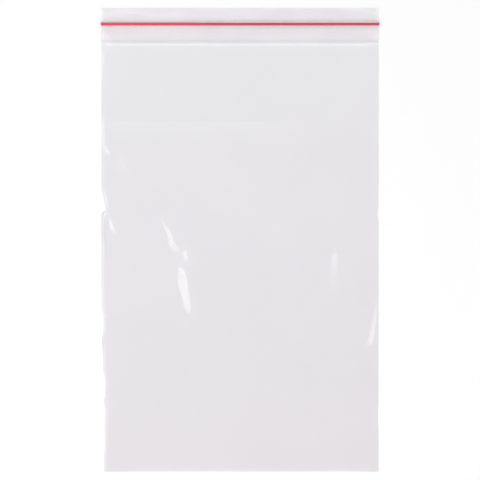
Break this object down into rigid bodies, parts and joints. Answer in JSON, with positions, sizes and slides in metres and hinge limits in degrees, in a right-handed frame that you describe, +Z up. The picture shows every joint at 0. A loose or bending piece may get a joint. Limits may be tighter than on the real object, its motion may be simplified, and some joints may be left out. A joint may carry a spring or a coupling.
{
  "type": "zipper bag",
  "caption": "Clear film bag with folded bottom, welded sides and a press-shut zip with a red rib inside its mouth, lying empty and closed.",
  "frame": {"origin": "on the surface that the bag lies on, under the middle of its outline", "axes": "+Y from the bottom fold to the mouth, +X across the width, +Z up out of the front panel"},
  "size_m": [0.15, 0.25, 0.0033],
  "materials": {
    "clear_film": "clear low-density polyethylene film, glossy with a slight haze",
    "clear_tape": "clear extruded polyethylene, glossy",
    "red_plastic": "red extruded polyethylene, satin"
  },
  "bodies": {
    "root": {"film_pouch": "clear_film", "groove_tape": "clear_tape", "rib_tape": "clear_tape", "red_rib": "red_plastic"}
  },
  "joints": []
}
